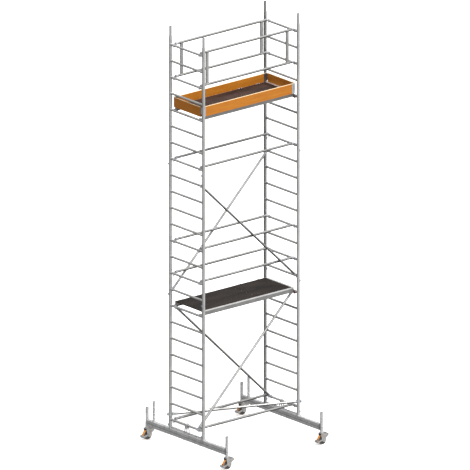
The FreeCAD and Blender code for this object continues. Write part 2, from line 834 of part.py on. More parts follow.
def deck(level, rung):
    top = rung_height(rung) + deck_rise
    pieces = [side_profile(across, top) for _, across in SIDES_Y]
    pieces.append(end_profile(deck_end_inset + deck_end_depth / 2 - half_deck, top))
    pieces.append(end_profile(half_deck - deck_end_depth / 2, top))
    cap_place = (half_deck - deck_end_depth / 2, 0, top - panel_thickness / 2)
    pieces.append(middle_box((deck_end_depth, panel_edge * 2, panel_thickness), cap_place))
    bar_size = (deck_bar_width, ledge_edge * 2, deck_bar_height)
    bar_z = top - panel_thickness - deck_bar_height / 2
    hanger_size = (deck_bar_width, web_inside * 2, deck_bar_height - deck_metal)
    hanger_z = top - end_top - (deck_bar_height - deck_metal) / 2
    bar_places = [deck_length * share - half_deck for share in DECK_BAR_SHARES]
    bar_places.append(hatch_left - deck_bar_offset)
    for bar_x in bar_places:
        bar = middle_box(bar_size, (bar_x, 0, bar_z))
        pieces.append(fuse([bar, middle_box(hanger_size, (bar_x, 0, hanger_z))]))
    for number in (0, 1):
        pieces += fixed_hinge(hatch_hinge_x(number), top)
    node(f"deck_frame_{level}", together(pieces))

    panel_right = hatch_left - hatch_gap
    panel_z = top - panel_thickness / 2
    panel_size = (panel_right + half_deck, panel_edge * 2, panel_thickness)
    floor_panel = middle_box(panel_size, ((panel_right - half_deck) / 2, 0, panel_z))
    strip_width = panel_edge - hinge_line - hatch_gap
    strip_length = hatch_right + hatch_gap - panel_right
    strip_size = (strip_length, strip_width, panel_thickness)
    strip_place = (panel_right + strip_length / 2, panel_edge - strip_width / 2, panel_z)
    node(f"deck_panel_{level}", fuse([floor_panel, middle_box(strip_size, strip_place)]))

    grips = [deck_claw(sign, across, rung) for _, sign in SIDES_X for _, across in SIDES_Y]
    node(f"deck_claws_{level}", together(grips))
    for where, across in SIDES_Y:
        node(f"wind_lock_{level}_{where}", wind_lock(across, rung))
    node(f"hatch_{level}", hatch(top))
    node(f"hatch_catch_{level}", hatch_catch(top))


deck_claw_side = deck_edge - deck_claw_width / 2
lock_pivot_x = half_deck + lock_pivot_reach


def deck_claw(sign, across, rung):
    """Claw at a corner of the deck; the right-hand ones carry the wind locks' pivots."""
    x = half_bay * sign
    y = deck_claw_side * across
    z = rung_height(rung)
    shell, opening = hook(x, y, z, deck_claw_width)
    arm_length = half_bay - half_deck
    arm_size = (arm_length, deck_claw_width, rung_dia + claw_wall * 2)
    arm = middle_box(arm_size, ((half_deck + arm_length / 2) * sign, y, z + 2))
    pieces = [cut(shell, opening), arm]
    if sign > 0:
        pivot_z = z + lock_pivot_rise
        turned = ((1, 0, 0), -90 * across)
        start = deck_edge - lock_pin_root
        reach = lock_pin_root + lock_gap + lock_thickness + lock_gap / 2
        pieces.append(cylinder(lock_pin_dia / 2, reach, (lock_pivot_x, start * across, pivot_z), turned))
        head_place = (lock_pivot_x, (start + reach) * across, pivot_z)
        pieces.append(cylinder(lock_head_dia / 2, lock_head, head_place, turned))
    return cut(fuse(pieces), rung_bore(x, y, z, deck_claw_width))


def wind_lock(across, rung):
    """Flat swinging hook outside the deck's corner that closes under the rung."""
    body = new_body("wind_lock")
    ahead = half_bay - lock_pivot_x
    inside = ahead - rung_dia / 2 - lock_clear
    under = -lock_pivot_rise - rung_dia / 2 - lock_clear
    tip = ahead + lock_tip_reach

    def shape(sketch):
        outline(sketch, [
            (-9, 2), (-5, 8), (5, 8), (inside, 0), (inside, under + 6), (inside + 8, under),
            (tip, under), (tip + 3, under - 8), (inside + 2, under - 13), (-7, under - 4), (-9, under + 14)])

    def pivot(sketch):
        ring(sketch, lock_pin_dia / 2 + lock_play)

    pad(body, "XZ_Plane", shape, lock_thickness)
    pocket(body, "XZ_Plane", pivot, TALL)
    y = (deck_edge + lock_gap + lock_thickness / 2) * across
    return put(body, (lock_pivot_x, y, rung_height(rung) + lock_pivot_rise))


catch_x = hatch_left + catch_inset
catch_y = catch_offset - ledge_edge
catch_drop = end_top + catch_bolt_dia / 2 + bolt_clear


def hatch(top):
    """Hatch panel with its inner knuckles, the slot for its catch and the catch's guide."""
    thickness = panel_thickness - hatch_clear
    near_edge = -(panel_edge - hatch_gap)
    far_edge = hinge_line - hatch_gap
    length = hatch_length - hatch_gap
    middle_x = (hatch_left + hatch_right) / 2
    panel = middle_box((length, far_edge - near_edge, thickness),
                       (middle_x, (near_edge + far_edge) / 2, top - thickness / 2))
    slot = middle_box((slot_width, slot_length, TALL), (catch_x, catch_y + slot_shift, top))
    guide_drop = catch_drop - thickness + catch_bolt_dia / 2 + guide_wall
    guide_place = (catch_x, catch_y - guide_offset, top - thickness - guide_drop / 2)
    guide = middle_box((guide_width, guide_depth, guide_drop), guide_place)
    bore_place = (catch_x, catch_y - TALL / 2, top - catch_drop)
    guide_bore = cylinder(catch_bolt_dia / 2 + hatch_clear, TALL, bore_place, ALONG_Y)
    pieces = [cut(panel, slot), cut(guide, guide_bore)]
    knuckle = hinge_width / 3
    knuckle_length = knuckle - hinge_gap
    z = top + hinge_rise
    for number in (0, 1):
        middle = hatch_hinge_x(number)
        barrel_place = (middle - knuckle_length / 2, hinge_line, z)
        barrel = cylinder(hinge_dia / 2, knuckle_length, barrel_place, ALONG_X)
        leaf_size = (knuckle_length, hatch_leaf_width, hinge_leaf)
        leaf = middle_box(leaf_size, (middle, hinge_line - hatch_leaf_width / 2, top + hinge_leaf / 2))
        web_size = (knuckle_length, hinge_dia / 2, hinge_rise)
        web = middle_box(web_size, (middle, hinge_line - hinge_dia / 4, top + hinge_rise / 2))
        bore = cylinder(hinge_pin_dia / 2 + hinge_play, TALL, (middle - TALL / 2, hinge_line, z), ALONG_X)
        pieces.append(cut(fuse([barrel, leaf, web]), bore))
    return together(pieces)


def hatch_catch(top):
    """Slide bolt under the hatch with a finger knob above it."""
    depth = top - catch_drop
    bolt_start = catch_y + bolt_tail
    reach = bolt_start + ledge_edge + bolt_reach
    bolt = cylinder(catch_bolt_dia / 2, reach, (catch_x, bolt_start - reach, depth), ALONG_Y)
    stem = cylinder(knob_stem_dia / 2, catch_drop + knob_height / 4, (catch_x, catch_y, depth))
    knob = cylinder(knob_dia / 2, knob_height, (catch_x, catch_y, top + knob_clear))
    return fuse([bolt, stem, knob])


deck("lower", LOWER_DECK_RUNG)
deck("upper", UPPER_DECK_RUNG)


# ---------------------------------------------------------------- toe boards

deck_top = rung_height(UPPER_DECK_RUNG) + deck_rise
toe_middle = deck_top - toe_drop + toe_height / 2
long_board_y = deck_edge + toe_fitting_wall + toe_thickness / 2
end_board_x = half_deck + end_board_gap + toe_thickness / 2


def board(label, length, role, place):
    """Plank with softened upper edges; role is the plane that its section lies in."""
    body = new_body(f"plank_{label}")

    def section(sketch):
        rectangle(sketch, toe_thickness, toe_height)

    plank = pad(body, role, section, length)
    doc.recompute()
    way = Vector(1, 0, 0) if role == "YZ_Plane" else Vector(0, 1, 0)
    rounding = body.newObject("PartDesign::Fillet", "TopEdges")
    rounding.Base = (plank, edges_along(plank.Shape, way, lambda point: point.z > 0))
    bind(rounding, "Radius", toe_rounding)
    body.Tip = rounding
    put(body, place)
    node(label, body)


for where, across in SIDES_Y:
    place = (0, long_board_y * across, toe_middle)
    board(f"toe_board_{where}", deck_length - 2 * toe_fitting_wall, "YZ_Plane", place)
for side, sign in SIDES_X:
    board(f"toe_board_{side}", deck_width - end_board_short, "XZ_Plane", (end_board_x * sign, 0, toe_middle))


def toe_fitting(sign, across):
    """Folded metal cap on a long board's end, with a tab that holds the end board."""
    wall = toe_fitting_wall
    size = (toe_fitting_length, toe_thickness + wall * 2, toe_height + wall)
    x = (half_deck - toe_fitting_length / 2) * sign
    y = long_board_y * across
    cap = middle_box(size, (x, y, toe_middle))
    tab_y = (deck_edge + wall / 2) * across
    tab_size = (toe_fitting_length + toe_thickness, wall, toe_height - toe_tab_short)
    tab = middle_box(tab_size, (x + toe_thickness / 2 * sign, tab_y, toe_middle + toe_tab_short / 3))
    inner = middle_box((deck_length - wall * 2, toe_thickness, toe_height + wall * 2), (0, y, toe_middle))
    relief_size = (bay_length * 2, deck_width, deck_side_height)
    side_relief = middle_box(relief_size, (0, 0, deck_top - deck_side_height / 2))
    return cut(cut(fuse([cap, tab]), inner), side_relief)


fittings = [toe_fitting(sign, across) for _, sign in SIDES_X for _, across in SIDES_Y]
node("toe_board_fittings", together(fittings))


# ---------------------------------------------------------------- castors

stem_foot = beam_underside - castor_tube_drop
fork_top = stem_foot - head_plate - head_play
fork_half = hub_width / 2 + fork_gap + fork_metal
wheel_radius = wheel_dia / 2
lever_reach = wheel_radius + pedal_overhang


def castor_places():
    for side, sign in SIDES_X:
        for where, across in SIDES_Y:
            yield f"{where}_{side}", half_bay * sign, castor_track / 2 * across


def stem(x, y):
    """Stem in the castor tube, its head plate, and the king pin that the fork turns on."""
    shank = cylinder(stem_dia / 2, stem_length, (x, y, stem_foot))
    head = cylinder(fork_head_dia / 2, head_plate, (x, y, stem_foot - head_plate))
    pin_drop = head_plate + head_play + fork_metal
    pin = cylinder(king_pin_dia / 2, pin_drop, (x, y, stem_foot - pin_drop))
    return fuse([shank, head, pin])


node("castor_stems", together([stem(x, y) for _, x, y in castor_places()]))


def fork():
    """Pressed fork: a crown and two tapered cheeks that carry the axle."""
    body = new_body("fork_plates")
    top = fork_top - wheel_radius
    crown_half = fork_head_dia / 2 - 2
    drop = fork_drop

    def cheeks(sketch):
        outline(sketch, [
            (-crown_half, top), (-crown_half, top - 22), (-20, 0), (-14, -16), (4, -34), (30, -drop),
            (50, -24), (58, 6), (56, 40), (crown_half + 8, top - 22), (crown_half, top)])

    def inside(sketch):
        height = top + drop * 2
        rectangle(sketch, (fork_half - fork_metal) * 2, height, (0, top - fork_metal - height / 2))

    def axle_hole(sketch):
        ring(sketch, axle_dia / 2)

    def pin_hole(sketch):
        ring(sketch, king_pin_dia / 2 + axle_play)

    pad(body, "XZ_Plane", cheeks, fork_half * 2)
    pocket(body, "YZ_Plane", inside, TALL)
    pocket(body, "XZ_Plane", axle_hole, TALL)
    pocket(body, "XY_Plane", pin_hole, TALL)
    return body


def wheel():
    """Tyre and hub turned about the axle in one piece."""
    body = new_body("wheel_disc")
    sketch = sketch_on(body, "YZ_Plane")
    bore = axle_dia / 2 + axle_play
    half_tread = tread_width / 2
    half_hub = hub_width / 2
    web_half = wheel_web / 2
    rim = wheel_radius - tyre_depth
    shoulder = wheel_radius - tyre_shoulder
    outline(sketch, [
        (-half_hub, bore), (half_hub, bore), (half_hub, hub_dia / 2), (web_half, hub_dia / 2 + 4),
        (web_half, rim - 4), (half_tread, rim), (half_tread, shoulder),
        (half_tread - tyre_crown, wheel_radius), (tyre_crown - half_tread, wheel_radius),
        (-half_tread, shoulder), (-half_tread, rim), (-web_half, rim - 4),
        (-web_half, hub_dia / 2 + 4), (-half_hub, hub_dia / 2)])
    turned = body.newObject("PartDesign::Revolution", "Turned")
    turned.Profile = sketch
    turned.ReferenceAxis = (sketch, ["H_Axis"])
    turned.Angle = 360
    body.Tip = turned
    return body


def brake_lever():
    """Rocker on the axle line: two thin arms outside the fork, joined by two pedals past the tyre."""
    body = new_body("brake_rocker")
    inner = fork_half + lever_gap
    clear = wheel_radius + lever_clear
    plate = pedal_plate

    def arms(sketch):
        outline(sketch, [
            (-16, -10), (12, -14), (34, 6), (lever_reach, wheel_radius - 19),
            (lever_reach, wheel_radius + 3), (lever_reach - 16, wheel_radius + 18),
            (lever_reach - 42, wheel_radius + 21), (8, 20), (-10, 16),
            (6 - lever_reach, -6), (-lever_reach, -20), (12 - lever_reach, -36)])

    def between(sketch):
        ring(sketch, clear)

    def under_pedal(sketch):
        tip = lever_reach - plate
        outline(sketch, [
            (30, 0), (tip, wheel_radius - 25), (tip, wheel_radius - 2), (tip - 13, wheel_radius + 12),
            (lever_reach - 64, wheel_radius + 9)])

    def pivot(sketch):
        ring(sketch, axle_dia / 2 + axle_play)

    pad(body, "XZ_Plane", arms, (inner + lever_metal) * 2)
    pocket(body, "XZ_Plane", between, inner * 2)
    pocket(body, "XZ_Plane", under_pedal, inner * 2)
    pocket(body, "XZ_Plane", pivot, TALL)
    return body


for name, x, y in castor_places():
    centre = (x, y, wheel_radius)
    cheeks = put(fork(), centre)
    bolt_length = (fork_half + lever_gap + lever_metal + axle_end) * 2
    bolt = cylinder(axle_dia / 2, bolt_length, (x, y - bolt_length / 2, wheel_radius), ALONG_Y)
    node(f"castor_fork_{name}", together([cheeks, bolt]))
    node(f"castor_wheel_{name}", put(wheel(), centre))
    node(f"castor_brake_{name}", put(brake_lever(), centre))


# ---------------------------------------------------------------- check and write

doc.recompute()
for thing in doc.Objects:
    if "Invalid" in thing.State or "Error" in thing.State:
        raise RuntimeError(f"{thing.Label} failed: {thing.State} {thing.getStatusString()}")
for thing in nodes:
    if thing.Shape.isNull() or not thing.Shape.isValid():
        raise RuntimeError(f"{thing.Label} has no valid shape")
os.makedirs("parts", exist_ok=True)
for thing in nodes:
    thing.Shape.exportStep(f"parts/{thing.Label}.step")
    print(thing.Label, len(thing.Shape.Solids), round(thing.Shape.Volume / 1000))
print(len(nodes), "nodes")
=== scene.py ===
import math

import bmesh
import bpy
from mathutils import Matrix, Vector


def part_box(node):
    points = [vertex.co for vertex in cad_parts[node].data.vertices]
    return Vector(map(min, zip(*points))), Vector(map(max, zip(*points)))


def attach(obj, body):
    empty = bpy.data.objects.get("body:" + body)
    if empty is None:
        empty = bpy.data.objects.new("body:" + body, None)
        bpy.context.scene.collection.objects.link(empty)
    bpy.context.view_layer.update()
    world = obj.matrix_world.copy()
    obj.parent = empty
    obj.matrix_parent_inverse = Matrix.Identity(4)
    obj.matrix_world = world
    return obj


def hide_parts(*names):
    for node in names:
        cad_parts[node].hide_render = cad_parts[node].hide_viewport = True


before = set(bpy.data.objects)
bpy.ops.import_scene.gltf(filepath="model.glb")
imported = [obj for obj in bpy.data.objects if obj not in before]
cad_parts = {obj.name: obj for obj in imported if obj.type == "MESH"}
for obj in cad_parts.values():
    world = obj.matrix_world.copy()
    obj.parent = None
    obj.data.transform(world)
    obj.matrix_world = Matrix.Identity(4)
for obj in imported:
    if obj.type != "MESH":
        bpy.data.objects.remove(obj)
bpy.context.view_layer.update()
scene = bpy.context.scene

# ---------------------------------------------------------------- Ladder frames
# Six welded ladders of round aluminium tube, three high on each side of the tower.
# The drawn tube is satin, with fine die lines along it and cloudy oxide; its undersides are
# painted darker as shade, and so are the far uprights of the right-hand ladders.


class Tone:
    """One output of a shader node; sums, differences and products add Math nodes."""

    def __init__(self, shading, socket):
        self.shading = shading
        self.socket = socket

    def math(self, operation, *others):
        return self.shading.node("ShaderNodeMath", {"operation": operation}, (self, *others))

    def __add__(self, other):
        return self.math("ADD", other)

    __radd__ = __add__

    def __sub__(self, other):
        return self.math("SUBTRACT", other)

    def __rsub__(self, other):
        return self.shading.node("ShaderNodeMath", {"operation": "SUBTRACT"}, (other, self))

    def __mul__(self, other):
        return self.math("MULTIPLY", other)

    __rmul__ = __mul__

    def above(self, limit):
        return self.math("GREATER_THAN", limit)

    def spread(self, low, high):
        """0 below low, 1 above high, and straight between."""
        values = {"Value": self, "From Min": low, "From Max": high}
        return self.shading.node("ShaderNodeMapRange", {"clamp": True}, values)


class Shading:
    """A node tree whose nodes all come from one method."""

    def __init__(self, tree):
        self.tree = tree

    def node(self, kind, settings=None, values=None, output=0):
        made = self.tree.nodes.new(kind)
        for key, value in (settings or {}).items():
            if key == "stops":
                ramp = made.color_ramp
                while len(ramp.elements) < len(value):
                    ramp.elements.new(0.5)
                for element, (position, colour) in zip(ramp.elements, value):
                    element.position = position
                    element.color = (*colour, 1)
            else:
                setattr(made, key, value)
        pairs = values.items() if isinstance(values, dict) else enumerate(values or ())
        for key, value in pairs:
            self.feed(made.inputs[key], value)
        return Tone(self, made.outputs[output])

    def feed(self, target, value):
        if isinstance(value, Tone):
            self.tree.links.new(value.socket, target)
        elif target.type == "RGBA":
            target.default_value = (*value, 1)
        else:
            target.default_value = value


class Finish(Shading):
    """A material built round one Principled surface."""

    def __init__(self, name, **uniform):
        self.material = bpy.data.materials.new(name)
        self.material.use_nodes = True
        super().__init__(self.material.node_tree)
        self.surface = self.tree.nodes["Principled BSDF"]
        for key, value in uniform.items():
            self.set(key.replace("_", " "), value)
        self.place = self.node("ShaderNodeTexCoord", output="Object")

    def noise(self, scale, stretch=(1, 1, 1), detail=4.0, rough=0.55):
        vector = self.node("ShaderNodeMapping", None, {"Vector": self.place, "Scale": stretch})
        values = {"Vector": vector, "Scale": scale, "Detail": detail, "Roughness": rough}
        return self.node("ShaderNodeTexNoise", None, values)

    def axis(self, letter):
        return self.node("ShaderNodeSeparateXYZ", None, (self.place,), letter)

    def facing(self, letter):
        """How far the surface faces along an axis, from -1 to 1."""
        normal = self.node("ShaderNodeNewGeometry", output="Normal")
        return self.node("ShaderNodeSeparateXYZ", None, (normal,), letter)

    def blend(self, factor, first, second):
        return self.node("ShaderNodeMix", {"data_type": "RGBA"}, {0: factor, 6: first, 7: second}, 2)

    def relief(self, height, distance, strength):
        values = {"Height": height, "Distance": distance, "Strength": strength}
        self.set("Normal", self.node("ShaderNodeBump", None, values))

    def set(self, name, value):
        self.feed(self.surface.inputs[name], value)


def coat(name, material):
    """Gives a finish to a part of the frame."""
    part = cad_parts[name]
    if not part.material_slots:
        part.data.materials.append(material)
    for place in part.material_slots:
        place.material = material


def drawn_tube(name, lines, reach, dark=(0.42, 0.42, 0.415), light=(0.70, 0.70, 0.69), darkening=0.0):
    """Satin drawn aluminium; lines gives its die lines, reach how far up the painted shade on the undersides
    climbs, and the last argument how strongly the far uprights are painted darker as shade."""
    tube = Finish(name, Metallic=0.85)
    streaks = lines(tube)
    clouds = tube.noise(5.0, detail=5.0, rough=0.6)
    rubbed = tube.noise(38.0, detail=6.0, rough=0.7).spread(0.62, 0.74)
    shade = streaks * 0.45 + clouds * 0.55
    colour = tube.blend(shade.spread(0.28, 0.72), dark, light)
    colour = tube.blend(rubbed * 0.5, colour, (0.86, 0.86, 0.85))
    # Painted shade: faces that point down, up to reach, are darkened.
    painted_underside_shade = (reach(tube) - tube.facing("Z")).spread(0.0, 0.45) * (0.65 + clouds * 0.35)
    colour = tube.blend(painted_underside_shade, colour, (0.06, 0.06, 0.058))
    # Painted shade: the far uprights are darkened.
    if darkening:
        far_shade = tube.axis("Y").above(FAR_UPRIGHT_Y) * (darkening + clouds * 0.3)
        colour = tube.blend(far_shade, colour, (0.09, 0.088, 0.085))
    tube.set("Base Color", colour)
    tube.set("Roughness", 0.24 + streaks * 0.16 + rubbed * -0.08 + clouds * 0.06)
    tube.relief(streaks + rubbed * 0.4, 0.0004, 0.35)
    return tube.material


def ladder_lines(tube):
    """Lines run up the uprights and across along the rungs."""
    along_upright = tube.noise(1.0, (420, 420, 6), 3.0)
    along_rung = tube.noise(1.0, (420, 6, 420), 3.0)
    upright = tube.axis("Y").math("ABSOLUTE").above(UPRIGHT_INNER)
    return along_rung + (along_upright - along_rung) * upright


STOREYS = ("lower", "middle", "upper")
FAR_UPRIGHT_Y = 0.3
RUNG_STEP = 0.25
FIRST_RUNG = 0.125
RUNGS = 8
SIDES = (-1, 1)

ladder_low, ladder_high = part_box("frame_lower_left")
UPRIGHT_RADIUS = (ladder_high.x - ladder_low.x) / 2
HALF_WIDTH = ladder_high.y - UPRIGHT_RADIUS
UPRIGHT_INNER = HALF_WIDTH - UPRIGHT_RADIUS
LADDER_X = -(ladder_low.x + UPRIGHT_RADIUS)
TOWER_BASE = ladder_low.z


# How far up the ladders' tubes the painted underside shade climbs.
def ladder_shade_reach(tube):
    return tube.noise(3.0) * 0.1 - 0.15


# The right-hand ladders' copy paints shade on their far uprights.
ladder_metals = {"left": drawn_tube("ladder_aluminium_left", ladder_lines, ladder_shade_reach),
                 "right": drawn_tube("ladder_aluminium_right", ladder_lines, ladder_shade_reach, darkening=0.35)}
for side, metal in ladder_metals.items():
    for storey in STOREYS:
        coat(f"frame_{storey}_{side}", metal)


def rung_height(number):
    return TOWER_BASE + FIRST_RUNG + RUNG_STEP * number


# ---------------------------------------------------------------- Rung welds
# A bead runs round each end of every rung, where it meets the upright's round face.
# It is bright weld metal with a fine ripple.

BEAD_LEG = 0.0042
RUNG_RADIUS = 0.0175
CREASE = math.radians(38)
BEAD_STEPS = 24


def piece(name, mesh, material, body):
    """Closes a bmesh into an object that rides on a body."""
    bmesh.ops.recalc_face_normals(mesh, faces=mesh.faces)
    for face in mesh.faces:
        face.smooth = True
    for edge in mesh.edges:
        edge.smooth = edge.calc_face_angle(0.0) < CREASE
    data = bpy.data.meshes.new(name)
    mesh.to_mesh(data)
    mesh.free()
    data.materials.append(material)
    made = bpy.data.objects.new(name, data)
    scene.collection.objects.link(made)
    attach(made, body)
    return made


def along(axis):
    """Turns something made along Z so that it lies along another axis."""
    return Vector((0, 0, 1)).rotation_difference(Vector(axis)).to_matrix().to_4x4()


def weld_finish():
    weld = Finish("weld_metal", Metallic=0.85)
    ripple = weld.noise(260.0, detail=3.0)
    weld.set("Base Color", weld.blend(ripple, (0.42, 0.42, 0.43), (0.66, 0.66, 0.67)))
    weld.set("Roughness", 0.38 + ripple * 0.25)
    weld.relief(ripple, 0.0012, 0.8)
    return weld.material


weld_metal = weld_finish()
beads = bmesh.new()
for x in (-LADDER_X, LADDER_X):
    for number in range(RUNGS * len(STOREYS)):
        for sign in SIDES:
            start = sign * (UPRIGHT_INNER - BEAD_LEG / 2)
            place = Matrix.Translation((x, start, rung_height(number))) @ along((0, sign, 0))
            made = bmesh.ops.create_cone(beads, cap_ends=False, segments=BEAD_STEPS, radius1=RUNG_RADIUS,
                                         radius2=RUNG_RADIUS + BEAD_LEG, depth=BEAD_LEG, matrix=place)
            for vert in made["verts"]:
                sag = UPRIGHT_RADIUS - math.sqrt(UPRIGHT_RADIUS ** 2 - (vert.co.x - x) ** 2)
                vert.co.y += sign * sag
piece("rung_welds", beads, weld_metal, "tower")

# ---------------------------------------------------------------- Rails and braces
# Plain aluminium tubes: level guard rails, two double rails with flat posts, and the
# diagonals, all with a claw pressed on each end, and the level brace with half couplers.
# Their undersides are painted darker as shade.

RAIL_POST_X = 0.76
RAIL_POST_HALF = 0.0235


def rail_lines(tube):
    return tube.noise(1.0, (6, 420, 420), 3.0)


def rail_shade_reach(tube):
    """The painted shade climbs half way up the tubes, but not on the flat posts between them."""
    from_post = (tube.axis("X").math("ABSOLUTE") - RAIL_POST_X).math("ABSOLUTE")
    return from_post.above(RAIL_POST_HALF) * 0.75 - 0.25


# How far up the diagonals the painted underside shade climbs.
def slope_shade_reach(tube):
    return tube.noise(3.0) * 0.1 + 0.05


def slope_lines(tube):
    return tube.noise(1.0, (60, 420, 60), 4.0)


LEVEL_RAILS = ("base_rail", "guard_rail_low", "guard_rail_high", "tie_rail", "double_rail")
SLOPING = ("brace_lower_near", "brace_lower_far", "brace_upper_near", "brace_upper_far", "plan_brace")
rail_metal = drawn_tube("rail_aluminium", rail_lines, rail_shade_reach, (0.29, 0.29, 0.285), (0.52, 0.52, 0.51))
brace_metal = drawn_tube("brace_aluminium", slope_lines, slope_shade_reach, (0.28, 0.28, 0.275),
                         (0.50, 0.50, 0.49))
for kind in LEVEL_RAILS:
    for where in ("near", "far"):
        coat(f"{kind}_{where}", rail_metal)
for name in SLOPING:
    coat(name, brace_metal)

# ---------------------------------------------------------------- Claws
# Cast aluminium claws grip the rungs, each closed below by a spring catch on a rivet.
# The castings are grainy and a little blue, and bright where the rungs rub them.

CLAW_HALF = 0.015
RIVET_OUT = 0.013
RIVET_LIFT = 0.0165
RIVET_RADIUS = 0.0042
RIVET_HEIGHT = 0.0016


def casting(name, dark, light):
    cast = Finish(name, Metallic=0.75)
    sand = cast.noise(700.0, detail=2.0)
    stain = cast.noise(45.0, detail=5.0, rough=0.65)
    rubbed = cast.noise(90.0, detail=3.0).spread(0.58, 0.7)
    colour = cast.blend(stain.spread(0.3, 0.7), dark, light)
    cast.set("Base Color", cast.blend(rubbed * 0.6, colour, (0.55, 0.57, 0.60)))
    cast.set("Roughness", 0.5 + sand * 0.18 - rubbed * 0.2)
    cast.relief(sand + stain * 0.5, 0.0008, 0.6)
    return cast.material


claw_metal = casting("cast_claw_metal", (0.34, 0.345, 0.36), (0.62, 0.63, 0.66))
deck_claw_metal = casting("deck_claw_metal", (0.32, 0.32, 0.33), (0.56, 0.56, 0.57))
coat("rail_claws", claw_metal)
coat("brace_claws", claw_metal)
for level in ("lower", "upper"):
    coat(f"deck_claws_{level}", deck_claw_metal)


def dome(mesh, place, axis, radius, height):
    """A low rivet head: a cone's frustum with a softened crown."""
    matrix = Matrix.Translation(Vector(place) + Vector(axis) * height / 2) @ along(axis)
    made = bmesh.ops.create_cone(mesh, cap_ends=True, segments=14, radius1=radius, radius2=radius * 0.62,
                                 depth=height, matrix=matrix)
    top = [face for face in {face for vert in made["verts"] for face in vert.link_faces}
           if face.normal.dot(Vector(axis)) > 0.9]
    bmesh.ops.inset_region(mesh, faces=top, thickness=radius * 0.3, use_even_offset=True)
    raised = {vert for face in top for vert in face.verts}
    bmesh.ops.translate(mesh, verts=list(raised), vec=Vector(axis) * height * 0.22)


def bright_steel():
    steel = Finish("bright_steel", Metallic=0.9)
    mottle = steel.noise(160.0, detail=4.0)
    steel.set("Base Color", steel.blend(mottle.spread(0.3, 0.7), (0.36, 0.36, 0.35), (0.62, 0.61, 0.58)))
    steel.set("Roughness", 0.3 + mottle * 0.2)
    steel.relief(mottle, 0.0003, 0.4)
    return steel.material


rivet_metal = bright_steel()


def middle_y(name):
    low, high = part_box(name)
    return (low.y + high.y) / 2


RAIL_RUNGS = (0, 9, 11, 16, 21, 23)
LOWER_BRACE_RUNGS = (0, 7)
UPPER_BRACE_RUNGS = (8, 15)
rail_side = middle_y("base_rail_far")
claw_places = [(side, rail_side * across, rung)
               for rung in RAIL_RUNGS for side in SIDES for across in SIDES]
low_rung, high_rung = LOWER_BRACE_RUNGS
for across, left_rung, right_rung in ((-1, low_rung, high_rung), (1, high_rung, low_rung)):
    y = across * middle_y("brace_lower_far")
    claw_places += [(-1, y, left_rung), (1, y, right_rung)]
low_rung, high_rung = UPPER_BRACE_RUNGS
for across, left_rung, right_rung in ((1, low_rung, high_rung), (-1, high_rung, low_rung)):
    y = across * middle_y("brace_upper_far")
    claw_places += [(-1, y, left_rung), (1, y, right_rung)]
claw_rivets = bmesh.new()
for side, y, rung in claw_places:
    for way in SIDES:
        spot = (side * (LADDER_X + RIVET_OUT), y + way * CLAW_HALF, rung_height(rung) + RIVET_LIFT)
        dome(claw_rivets, spot, (0, way, 0), RIVET_RADIUS, RIVET_HEIGHT)
piece("claw_rivets", claw_rivets, rivet_metal, "tower")

# ---------------------------------------------------------------- Rolling base
# Two hot-dip galvanised box beams with welded castor tubes, the foot plates and spigots
# that the ladders stand on, the spare posts, the hold-downs and the round tie bars.

BEAM_HEIGHT = 0.1
FOOT_PLATE = 0.006
SEAM_CORE = 0.003
SEAM_EDGE = 0.006


def galvanised(name, dark, light, rough, seam=0.0):
    """Spangled zinc; seam is the height of a dark rolled line along the sides, if there is one."""
    zinc = Finish(name, Metallic=0.7)
    grains = {"Vector": zinc.place, "Scale": 70.0}
    flakes = zinc.node("ShaderNodeTexVoronoi", {"feature": "F1"}, grains, "Color")
    spangle = zinc.node("ShaderNodeRGBToBW", None, (flakes,))
    clouds = zinc.noise(9.0, detail=5.0, rough=0.6)
    dust = zinc.noise(30.0, (1, 1, 3), 6.0, 0.7).spread(0.55, 0.75)
    tone = spangle * 0.45 + clouds * 0.55
    colour = zinc.blend(tone.spread(0.25, 0.75), dark, light)
    colour = zinc.blend(dust * 0.35, colour, (0.34, 0.32, 0.29))
    if seam:
        line = 1 - (zinc.axis("Z") - seam).math("ABSOLUTE").spread(SEAM_CORE, SEAM_EDGE)
        colour = zinc.blend(line * 0.6, colour, (0.16, 0.16, 0.16))
    zinc.set("Base Color", colour)
    zinc.set("Roughness", rough + spangle * 0.18 + dust * 0.15)
    zinc.relief(clouds + spangle * 0.2, 0.0012, 0.3)
    return zinc.material


beam_top = TOWER_BASE - FOOT_PLATE
beam_base = beam_top - BEAM_HEIGHT
beam_middle = (beam_base + beam_top) / 2
beam_zinc = galvanised("beam_zinc", (0.46, 0.46, 0.465), (0.76, 0.76, 0.765), 0.42, beam_middle)
post_zinc = galvanised("post_zinc", (0.55, 0.55, 0.55), (0.88, 0.88, 0.88), 0.16)
for name in ("base_beam_left", "base_beam_right"):
    coat(name, beam_zinc)
for name in ("beam_spigots", "beam_tie_bars"):
    coat(name, post_zinc)

CASTOR_TUBE_RADIUS = 0.02415
FILLET_LEG = 0.0028
FILLET_GAP = 0.0004
FILLET_HEIGHT = 0.005
FILLET_PAST_AXIS = 0.004
beam_welds = bmesh.new()
for side in ("left", "right"):
    beam_low, beam_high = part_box(f"base_beam_{side}")
    beam_x = (beam_low.x + beam_high.x) / 2
    track = beam_high.y - CASTOR_TUBE_RADIUS
    for sign in SIDES:
        for level in (beam_base, beam_top):
            place = Matrix.Translation((beam_x, track * sign, level))
            ring = bmesh.ops.create_cone(beam_welds, cap_ends=False, segments=32,
                                         radius1=CASTOR_TUBE_RADIUS + FILLET_LEG,
                                         radius2=CASTOR_TUBE_RADIUS + FILLET_GAP,
                                         depth=FILLET_HEIGHT, matrix=place)
            outside = [vert for vert in ring["verts"] if (vert.co.y - track * sign) * sign > FILLET_PAST_AXIS]
            bmesh.ops.delete(beam_welds, geom=outside, context="VERTS")
piece("beam_welds", beam_welds, weld_metal, "tower")

# ---------------------------------------------------------------- Joint clips and coupler bolts
# Plated clips lock each ladder to the one below, and a bolt with a nut closes each
# half coupler of the level brace on its upright.

